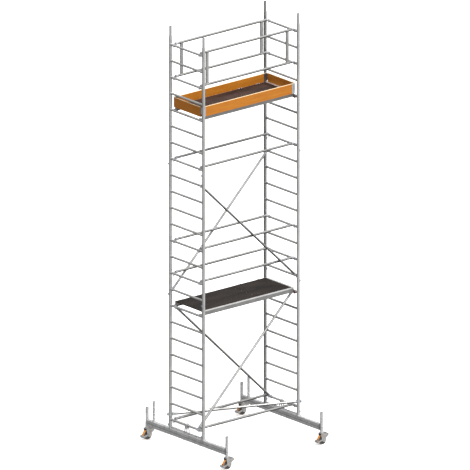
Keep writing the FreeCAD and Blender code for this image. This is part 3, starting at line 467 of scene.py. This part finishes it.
clip_steel = Finish("clip_steel", Metallic=0.8)
clip_grain = clip_steel.noise(120.0, detail=4.0)
clip_steel.set("Base Color", clip_steel.blend(clip_grain, (0.22, 0.25, 0.30), (0.42, 0.46, 0.52)))
clip_steel.set("Roughness", 0.34 + clip_grain * 0.2)
clip_steel.relief(clip_grain, 0.0003, 0.4)
coat("frame_joint_clips", clip_steel.material)

LUG_REACH = UPRIGHT_RADIUS + 0.015
LUG_HALF = 0.013
HEAD = {"sides": 6, "radius": 0.0085, "height": 0.007}
NUT = {"sides": 6, "radius": 0.0085, "height": 0.009}
WASHER = {"sides": 24, "radius": 0.0105, "height": 0.0015}
THREAD_END = {"sides": 16, "radius": 0.005, "height": 0.014}


def turned(mesh, axis, middle, sides, radius, height):
    """A short prism about an axis: a hexagon, a washer or a thread's end."""
    bmesh.ops.create_cone(mesh, cap_ends=True, segments=sides, radius1=radius, radius2=radius, depth=height,
                          matrix=Matrix.Translation(middle) @ along(axis))


coupler_bolts = bmesh.new()
plan_low, plan_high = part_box("plan_brace")
coupler_z = (plan_low.z + plan_high.z) / 2
diagonal_way = Vector((LADDER_X, -HALF_WIDTH, 0)).normalized()
bolt_way = Vector((-diagonal_way.y, diagonal_way.x, 0))
for sign in SIDES:
    lug = Vector((LADDER_X, -HALF_WIDTH, 0)) * sign + diagonal_way * LUG_REACH * sign
    lug.z = coupler_z
    for way, shape in ((1, HEAD), (-1, NUT), (1, WASHER), (-1, WASHER), (-1, THREAD_END)):
        reach = LUG_HALF + shape["height"] / 2
        turned(coupler_bolts, bolt_way, lug + bolt_way * way * reach, **shape)
piece("coupler_bolts", coupler_bolts, rivet_metal, "tower")

# ---------------------------------------------------------------- Decks
# Extruded aluminium sides and ends carry panels of birch ply faced with a dark, textured
# phenolic film. Screws hold the panels down, and rivets hold the corners together.

LIP_HEIGHT = 0.0208


def extrusion(name, top):
    """Brushed extrusion over a darker web; a band just below top is painted lighter as a highlight on the
    proud outer lip.
    """
    bar = Finish(name, Metallic=0.72)
    lines = bar.noise(1.0, (5, 500, 500), 3.0)
    clouds = bar.noise(6.0, detail=5.0)
    scuffs = bar.noise(24.0, (1, 4, 4), 6.0, 0.75).spread(0.6, 0.72)
    tone = lines * 0.4 + clouds * 0.6
    web = bar.blend(tone.spread(0.3, 0.7), (0.19, 0.187, 0.183), (0.32, 0.315, 0.31))
    lip_highlight = bar.blend(tone.spread(0.3, 0.7), (0.55, 0.55, 0.54), (0.82, 0.82, 0.81))
    # Painted highlight: the band just below top takes the lighter lip colour.
    colour = bar.blend(bar.axis("Z").above(top - LIP_HEIGHT), web, lip_highlight)
    bar.set("Base Color", bar.blend(scuffs * 0.4, colour, (0.55, 0.54, 0.52)))
    bar.set("Roughness", 0.4 + lines * 0.15 + scuffs * 0.1)
    bar.relief(lines, 0.0004, 0.35)
    return bar.material


MESH_PITCH = 0.0052
PLY_PITCH = 0.0026


def film_ply(name, bounce_warmth, light):
    """Dark film with a fine raised mesh on both faces, and bare plies on the edges. The second and third
    arguments paint orange bounce light and shade into the film.
    """
    ply = Finish(name, Specular_IOR_Level=0.12)
    pitch = 2 * math.pi / MESH_PITCH
    wires = (ply.axis("X") * pitch).math("SINE") * (ply.axis("Y") * pitch).math("SINE")
    dust = ply.noise(3.2, (1, 2.2, 1), 6.0, 0.65)
    wear = ply.noise(9.0, (0.35, 4, 1), 7.0, 0.72).spread(0.5, 0.72)
    scratches = ply.noise(60.0, (0.12, 3.5, 1), 4.0, 0.6).spread(0.66, 0.74)
    clean = (0.012 * bounce_warmth * light, 0.011 * light, 0.010 * light)
    dusty = (0.036 * bounce_warmth * light, 0.029 * light, 0.024 * light)
    film = ply.blend(dust.spread(0.3, 0.7), clean, dusty)
    film = ply.blend(wear * 0.35, film, (0.075 * bounce_warmth * light, 0.060 * light, 0.048 * light))
    film = ply.blend(scratches * 0.35, film, (0.12, 0.10, 0.08))
    layer = (ply.axis("Z") * (2 * math.pi / PLY_PITCH)).math("SINE").spread(-0.4, 0.4)
    fibres = ply.noise(140.0, (1, 1, 4), 4.0)
    edge = ply.blend(layer * 0.7 + fibres * 0.3, (0.020, 0.014, 0.010), (0.060, 0.038, 0.022))
    face = ply.facing("Z").math("ABSOLUTE").above(0.5)
    ply.set("Base Color", ply.blend(face, edge, film))
    ply.set("Roughness", 0.55 + wear * 0.15 + wires * 0.04)
    ply.relief(wires * face + fibres * (1 - face) * 0.4, 0.0007, 0.6)
    return ply.material


# Painted light and shade: the upper deck's copy is warmer and brighter, as orange light bounced from the toe
# boards, and the lower deck's is darker.
film_lower = film_ply("film_ply_lower", 1.1, 0.75)
film_upper = film_ply("film_ply_upper", 1.4, 1.35)
SCREW_STEP = 0.24
SCREW_SIDE_INSET = 0.012
SCREW_END_INSET = 0.03
SCREW_RADIUS = 0.0045
SCREW_HEIGHT = 0.0009
END_ROW_INSET = 0.014
HATCH_ROW_INSET = 0.02
CROSS_ROW = (-0.18, -0.06, 0.06, 0.18)
WEB_RECESS = 0.003
CORNER_RIVETS = [(inset, drop) for drop in (0.03, 0.058) for inset in (0.012, 0.026)]
CORNER_RIVET_RADIUS = 0.004
CORNER_RIVET_HEIGHT = 0.0012
for level, film in (("lower", film_lower), ("upper", film_upper)):
    panel_low, panel_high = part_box(f"deck_panel_{level}")
    top = panel_high.z
    coat(f"deck_frame_{level}", extrusion(f"deck_extrusion_{level}", top))
    coat(f"deck_panel_{level}", film)
    coat(f"hatch_{level}", film)
    hatch_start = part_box(f"hatch_{level}")[0].x
    screws = bmesh.new()
    spaces = int((hatch_start - panel_low.x) / SCREW_STEP)
    row = hatch_start - panel_low.x - 2 * SCREW_END_INSET
    for number in range(spaces + 1):
        x = panel_low.x + SCREW_END_INSET + row * number / spaces
        for sign in SIDES:
            spot = (x, sign * (panel_high.y - SCREW_SIDE_INSET), top)
            dome(screws, spot, (0, 0, 1), SCREW_RADIUS, SCREW_HEIGHT)
    for x in (panel_low.x + END_ROW_INSET, hatch_start - HATCH_ROW_INSET):
        for y in CROSS_ROW:
            dome(screws, (x, y, top), (0, 0, 1), SCREW_RADIUS, SCREW_HEIGHT)
    piece(f"deck_screws_{level}", screws, rivet_metal, "tower")

    rivets = bmesh.new()
    deck_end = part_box(f"deck_frame_{level}")[1]
    for end in SIDES:
        for inset, drop in CORNER_RIVETS:
            for sign in SIDES:
                spot = (end * (deck_end.x - inset), sign * (deck_end.y - WEB_RECESS), top - drop)
                dome(rivets, spot, (0, sign, 0), CORNER_RIVET_RADIUS, CORNER_RIVET_HEIGHT)
    piece(f"deck_rivets_{level}", rivets, rivet_metal, "tower")

# ---------------------------------------------------------------- Hatch catches
# A moulded black slide under each hatch, with a round finger knob on top. The plastic
# has a fine pebble grain, and is paler and smoother where hands push it.

black_plastic = Finish("black_plastic")
pebble = black_plastic.noise(900.0, detail=2.0)
handled = black_plastic.noise(60.0, detail=4.0).spread(0.5, 0.8)
black_plastic.set("Base Color", black_plastic.blend(handled, (0.016, 0.016, 0.017), (0.05, 0.05, 0.052)))
black_plastic.set("Roughness", 0.5 - handled * 0.15)
black_plastic.relief(pebble, 0.0004, 0.5)
for level in ("lower", "upper"):
    coat(f"hatch_catch_{level}", black_plastic.material)

# ---------------------------------------------------------------- Wind locks
# Four flat steel hooks, painted dark red, swing under the rung beside the deck's claws.
# The paint is chipped to bare steel in places.

lock_paint = Finish("lock_paint")
chips = lock_paint.noise(140.0, detail=6.0, rough=0.7).spread(0.64, 0.67)
flow = lock_paint.noise(30.0, detail=3.0)
painted = lock_paint.blend(flow, (0.10, 0.014, 0.012), (0.20, 0.028, 0.022))
lock_paint.set("Base Color", lock_paint.blend(chips, painted, (0.30, 0.29, 0.28)))
lock_paint.set("Metallic", chips)
lock_paint.set("Roughness", 0.38 + flow * 0.12)
lock_paint.relief(flow * 0.5 - chips, 0.0006, 0.5)
for level in ("lower", "upper"):
    for where in ("near", "far"):
        coat(f"wind_lock_{level}_{where}", lock_paint.material)

# ---------------------------------------------------------------- Toe boards
# Four orange stained boards stand round the upper deck. The long ones have folded
# aluminium caps at their ends, each held by two rivets; the far caps are painted dark as shade.


def stained_board(name, stretch, shade_tint=1.0):
    """Grain runs along the board, and faces that point up or down are paler. The last argument darkens the
    stain as painted shade.
    """
    wood = Finish(name, Coat_Weight=0.04, Coat_Roughness=0.35, Specular_IOR_Level=0.25)
    grain = wood.noise(1.0, stretch, 7.0, 0.62)
    fine = wood.noise(1.0, [value * 4 for value in stretch], 4.0, 0.6)
    wash = wood.noise(2.4, detail=3.0)
    stops = [(0.30, (0.35 * shade_tint, 0.115 * shade_tint, 0.008)), (0.5, (0.46 * shade_tint, 0.160 * shade_tint, 0.013)),
             (0.72, (0.57 * shade_tint, 0.225 * shade_tint, 0.026))]
    tone = grain * 0.55 + wash * 0.25 + fine * 0.2
    colour = wood.node("ShaderNodeValToRGB", {"stops": stops}, (tone,))
    pores = fine.spread(0.6, 0.72)
    colour = wood.blend(pores * 0.35, colour, (0.26 * shade_tint, 0.075 * shade_tint, 0.006))
    edge = wood.facing("Z").math("ABSOLUTE").spread(0.55, 0.85)
    wood.set("Base Color", wood.blend(edge, colour, (0.86, 0.70, 0.46)))
    wood.set("Roughness", 0.42 + grain * 0.15 + edge * 0.1)
    wood.relief(grain * 0.6 + fine * 0.4, 0.0007, 0.4)
    return wood.material


long_board = stained_board("long_board_stain", (1.6, 40, 40))
# The end boards' copy of the stain is painted darker as shade.
end_board = stained_board("end_board_stain", (40, 1.6, 40), 0.88)
cap_metal = Finish("board_cap_metal", Metallic=0.7)
cap_grain = cap_metal.noise(180.0, detail=4.0)
cap_stain = cap_metal.noise(20.0, detail=5.0)
cap_colour = cap_metal.blend(cap_stain.spread(0.3, 0.7), (0.40, 0.42, 0.45), (0.62, 0.64, 0.68))
# Painted shade: the far caps are darkened.
cap_far_shade = cap_metal.axis("Y").above(0.0) * (0.75 + cap_stain * 0.2)
cap_metal.set("Base Color", cap_metal.blend(cap_far_shade, cap_colour, (0.05, 0.055, 0.065)))
cap_metal.set("Roughness", 0.36 + cap_grain * 0.18)
cap_metal.relief(cap_grain, 0.0003, 0.3)
for where in ("near", "far"):
    coat(f"toe_board_{where}", long_board)
for where in ("left", "right"):
    coat(f"toe_board_{where}", end_board)
coat("toe_board_fittings", cap_metal.material)

CAP_RIVET_INSET = 0.028
CAP_RIVET_LIFT = 0.04
CAP_RIVET_RADIUS = 0.005
CAP_RIVET_HEIGHT = 0.0016
cap_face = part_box("toe_board_fittings")[1].y
board_low, board_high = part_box("toe_board_far")
board_middle = (board_low.z + board_high.z) / 2
cap_rivet_x = board_high.x - CAP_RIVET_INSET
board_rivets = bmesh.new()
for end in SIDES:
    for sign in SIDES:
        for up in SIDES:
            spot = (end * cap_rivet_x, sign * cap_face, board_middle + up * CAP_RIVET_LIFT)
            dome(board_rivets, spot, (0, sign, 0), CAP_RIVET_RADIUS, CAP_RIVET_HEIGHT)
piece("board_rivets", board_rivets, rivet_metal, "tower")

# ---------------------------------------------------------------- Castors
# Pressed zinc-plated forks and rocker brakes carry wheels with an orange polyurethane
# tyre on a dark grey hub. Hexagon nuts close the axles, a ball race ring sits on the
# fork, and a black block in the fork's throat over the tyre stands for the shade there.

CASTOR_Y = middle_y("castor_wheel_far_left")
TREAD_HALF = 0.0175
TREAD_EDGE = 0.0195

fork_steel = Finish("fork_steel", Metallic=0.8)
plating = fork_steel.noise(90.0, detail=5.0)
darkening = fork_steel.noise(22.0, detail=6.0, rough=0.7).spread(0.5, 0.75)
fork_colour = fork_steel.blend(plating.spread(0.3, 0.7), (0.34, 0.33, 0.32), (0.60, 0.59, 0.57))
fork_steel.set("Base Color", fork_steel.blend(darkening * 0.75, fork_colour, (0.13, 0.12, 0.11)))
fork_steel.set("Roughness", 0.34 + plating * 0.15 + darkening * 0.2)
fork_steel.relief(plating, 0.0004, 0.4)

tyre_rubber = Finish("tyre_polyurethane", Coat_Weight=0.05)
scuffed = tyre_rubber.noise(70.0, detail=6.0, rough=0.7).spread(0.5, 0.8)
mottled = tyre_rubber.noise(18.0, detail=4.0)
tyre_colour = tyre_rubber.blend(mottled, (0.58, 0.20, 0.022), (0.78, 0.32, 0.05))
tyre_colour = tyre_rubber.blend(scuffed * 0.55, tyre_colour, (0.28, 0.17, 0.10))
from_middle = (tyre_rubber.axis("Y").math("ABSOLUTE") - CASTOR_Y).math("ABSOLUTE")
tyre_wall = from_middle.spread(TREAD_HALF, TREAD_EDGE)
tyre_rubber.set("Base Color", tyre_rubber.blend(tyre_wall, tyre_colour, (0.10, 0.085, 0.075)))
tyre_rubber.set("Roughness", 0.42 + scuffed * 0.25)
tyre_rubber.relief(scuffed + mottled, 0.0006, 0.4)

hub_plastic = Finish("hub_plastic")
hub_grain = hub_plastic.noise(300.0, detail=3.0)
hub_plastic.set("Base Color", hub_plastic.blend(hub_grain, (0.07, 0.07, 0.072), (0.15, 0.15, 0.153)))
hub_plastic.set("Roughness", 0.45 + hub_grain * 0.15)
hub_plastic.relief(hub_grain, 0.0004, 0.4)


def spun(mesh, profile, centre, steps):
    """Turns a closed profile of (radius, offset) points about the Y axis through centre."""
    verts = [mesh.verts.new(centre + Vector((radius, offset, 0))) for radius, offset in profile]
    edges = [mesh.edges.new(pair) for pair in zip(verts, verts[1:] + verts[:1])]
    bmesh.ops.spin(mesh, geom=verts + edges, cent=centre, axis=(0, 1, 0), angle=2 * math.pi, steps=steps,
                   use_merge=True)


BORE_RADIUS = 0.0062
TYRE_DEPTH = 0.0075
SPOKES = 6
SPOKE_START = 0.012
SPOKE_WIDTH = 0.030
SPOKE_THICKNESS = 0.005
AXLE_NUT = {"sides": 6, "radius": 0.011, "height": 0.0062}
AXLE_NUT_SEAT = 0.0072
AXLE_WASHER = {"sides": 24, "radius": 0.0125, "height": 0.0014}
AXLE_WASHER_SEAT = 0.0079
RACE = [(0.030, 0), (0.040, 0), (0.0405, -0.0012), (0.0405, -0.006), (0.038, -0.009), (0.036, -0.009),
        (0.036, -0.0045), (0.030, -0.0045)]
SHADE_BLOCK_SIZE = (0.034, 0.050, 0.015)
SHADE_BLOCK_SHIFT = 0.030
SHADE_BLOCK_GAP = 0.0105
SHADE_BLOCK_SLANT = 0.008
SHADE_BLOCK_EDGE = 0.0025


def both_sides(half):
    """The whole outline of a shape that is the same on both sides of the wheel's middle."""
    return [(reach, -offset) for reach, offset in half] + half[::-1]


coat("castor_stems", fork_steel.material)
for place in ("near_left", "far_left", "near_right", "far_right"):
    coat(f"castor_fork_{place}", fork_steel.material)
    coat(f"castor_brake_{place}", fork_steel.material)
    wheel_low, wheel_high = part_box(f"castor_wheel_{place}")
    centre = (wheel_low + wheel_high) / 2
    radius = (wheel_high.z - wheel_low.z) / 2
    hub_half = (wheel_high.y - wheel_low.y) / 2
    rim = radius - TYRE_DEPTH

    tyre = bmesh.new()
    spun(tyre, both_sides([(rim, 0.020), (rim + 0.001, 0.0215), (radius - 0.004, 0.0215),
                           (radius - 0.0015, 0.020), (radius, 0.015), (radius, 0.0035),
                           (radius - 0.0035, 0.002)]), centre, 72)
    tyre_piece = piece(f"tyre_{place}", tyre, tyre_rubber.material, f"wheel_{place}")
    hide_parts(f"castor_wheel_{place}")

    hub = bmesh.new()
    spun(hub, both_sides([(BORE_RADIUS, hub_half), (0.014, hub_half), (0.0155, hub_half - 0.002),
                          (0.0175, hub_half - 0.008), (0.022, 0.012), (0.024, 0.007), (rim - 0.012, 0.006),
                          (rim - 0.007, 0.010), (rim - 0.005, 0.0195), (rim, 0.0195)]), centre, 64)
    for spoke in range(SPOKES):
        turn = Matrix.Rotation(spoke * 2 * math.pi / SPOKES, 4, (0, 1, 0))
        size = Matrix.Diagonal((rim - 2 * SPOKE_START, SPOKE_WIDTH, SPOKE_THICKNESS, 1))
        shift = Matrix.Translation(((rim + SPOKE_START) / 2, 0, 0))
        bmesh.ops.create_cube(hub, size=1.0, matrix=Matrix.Translation(centre) @ turn @ shift @ size)
    piece(f"hub_{place}", hub, hub_plastic.material, f"wheel_{place}")

    fork_low, fork_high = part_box(f"castor_fork_{place}")
    hardware = bmesh.new()
    for sign, end in ((-1, fork_low.y), (1, fork_high.y)):
        for seat, shape in ((AXLE_NUT_SEAT, AXLE_NUT), (AXLE_WASHER_SEAT, AXLE_WASHER)):
            y = end - sign * (seat - shape["height"] / 2)
            turned(hardware, (0, sign, 0), (centre.x, y, centre.z), **shape)
    verts = [hardware.verts.new((centre.x + reach, centre.y, fork_high.z + drop)) for reach, drop in RACE]
    edges = [hardware.edges.new(pair) for pair in zip(verts, verts[1:] + verts[:1])]
    bmesh.ops.spin(hardware, geom=verts + edges, cent=(centre.x, centre.y, 0), axis=(0, 0, 1),
                   angle=2 * math.pi, steps=48, use_merge=True)
    piece(f"castor_hardware_{place}", hardware, rivet_metal, f"swivel_{place}")

    # Painted shade: a black block stands in the dark gap under the fork's head, over the tyre.
    shade_block = bmesh.new()
    shade_block_middle = centre + Vector((-SHADE_BLOCK_SHIFT, 0, radius + SHADE_BLOCK_GAP))
    size = Matrix.Diagonal((*SHADE_BLOCK_SIZE, 1))
    bmesh.ops.create_cube(shade_block, size=1.0, matrix=Matrix.Translation(shade_block_middle) @ size)
    slanted = [vert for vert in shade_block.verts if vert.co.x < shade_block_middle.x and vert.co.z < shade_block_middle.z]
    bmesh.ops.translate(shade_block, verts=slanted, vec=(SHADE_BLOCK_SLANT, 0, 0))
    bmesh.ops.bevel(shade_block, geom=shade_block.edges, offset=SHADE_BLOCK_EDGE, offset_type="OFFSET", segments=3, profile=0.5,
                    affect="EDGES", material=-1)
    piece(f"throat_shade_block_{place}", shade_block, black_plastic.material, f"swivel_{place}")

# ---------------------------------------------------------------- Studio
# A pale matt floor, one broad sun high on the near side, and a white room that is
# brightest high on the near side and dimmest low behind the tower. The camera looks
# down at the near left corner.

AZIMUTH = math.radians(-40.0)
ELEVATION = math.radians(18.2)
VIEW_WIDTH = 6.846
VIEW_MIDDLE_Z = 3.168
VIEW_SHIFT_RIGHT = 0.009
CAMERA_DISTANCE = 20.0
CAMERA_REACH = 200.0
FLOOR_HALF = 60.0
FLOOR_DROP = 0.002
SUN_FROM = Vector((-0.05, -0.55, 1.0))
SUN_STRENGTH = 2.9
SUN_WIDTH = math.radians(7)
ROOM_BRIGHT_WAY = Vector((0.14, -0.50, 0.85)).normalized()
ROOM_EASE = {"interpolation_type": "SMOOTHSTEP"}
ROOM_FADE = {"From Min": -0.55, "From Max": 0.8, "To Min": 0.25, "To Max": 1.3}
WHITE = (1, 1, 1)

floor_mesh = bmesh.new()
bmesh.ops.create_grid(floor_mesh, x_segments=1, y_segments=1, size=FLOOR_HALF,
                      matrix=Matrix.Translation((0, 0, -FLOOR_DROP)))
floor_data = bpy.data.meshes.new("floor")
floor_mesh.to_mesh(floor_data)
floor_mesh.free()
floor = bpy.data.objects.new("floor", floor_data)
scene.collection.objects.link(floor)
floor_paint = Finish("floor_paint", Roughness=0.9, Specular_IOR_Level=0.0, Emission_Strength=0.28)
floor_paint.set("Base Color", (0.93, 0.93, 0.93))
floor_paint.set("Emission Color", WHITE)
floor_data.materials.append(floor_paint.material)
floor.visible_diffuse = False
floor.visible_glossy = False

sun_data = bpy.data.lights.new("sun", "SUN")
sun_data.energy = SUN_STRENGTH
sun_data.angle = SUN_WIDTH
sun = bpy.data.objects.new("sun", sun_data)
sun.rotation_euler = SUN_FROM.to_track_quat("Z", "Y").to_euler()
scene.collection.objects.link(sun)

scene.world = bpy.data.worlds.new("room")
scene.world.use_nodes = True
scene.world.node_tree.nodes.clear()
room = Shading(scene.world.node_tree)
room_way = room.node("ShaderNodeTexCoord", output="Generated")
toward = room.node("ShaderNodeVectorMath", {"operation": "DOT_PRODUCT"}, (room_way, ROOM_BRIGHT_WAY), "Value")
strength = room.node("ShaderNodeMapRange", ROOM_EASE, {"Value": toward, **ROOM_FADE})
room_light = room.node("ShaderNodeBackground", None, {"Color": WHITE, "Strength": strength})
room_seen = room.node("ShaderNodeBackground", None, {"Color": WHITE})
to_camera = room.node("ShaderNodeLightPath", output="Is Camera Ray")
room_mix = room.node("ShaderNodeMixShader", None, (to_camera, room_light, room_seen))
room_out = room.tree.nodes.new("ShaderNodeOutputWorld")
room.feed(room_out.inputs["Surface"], room_mix)

camera_data = bpy.data.cameras.new("camera")
camera_data.type = "ORTHO"
camera_data.ortho_scale = VIEW_WIDTH
camera_data.clip_end = CAMERA_REACH
camera = bpy.data.objects.new("camera", camera_data)
back = Vector((math.sin(AZIMUTH) * math.cos(ELEVATION), -math.cos(AZIMUTH) * math.cos(ELEVATION),
               math.sin(ELEVATION)))
right = Vector((math.cos(AZIMUTH), math.sin(AZIMUTH), 0))
camera.location = Vector((0, 0, VIEW_MIDDLE_Z)) + right * VIEW_SHIFT_RIGHT + back * CAMERA_DISTANCE
camera.rotation_euler = back.to_track_quat("Z", "Y").to_euler()
scene.collection.objects.link(camera)
scene.camera = camera
scene.view_settings.view_transform = "Standard"
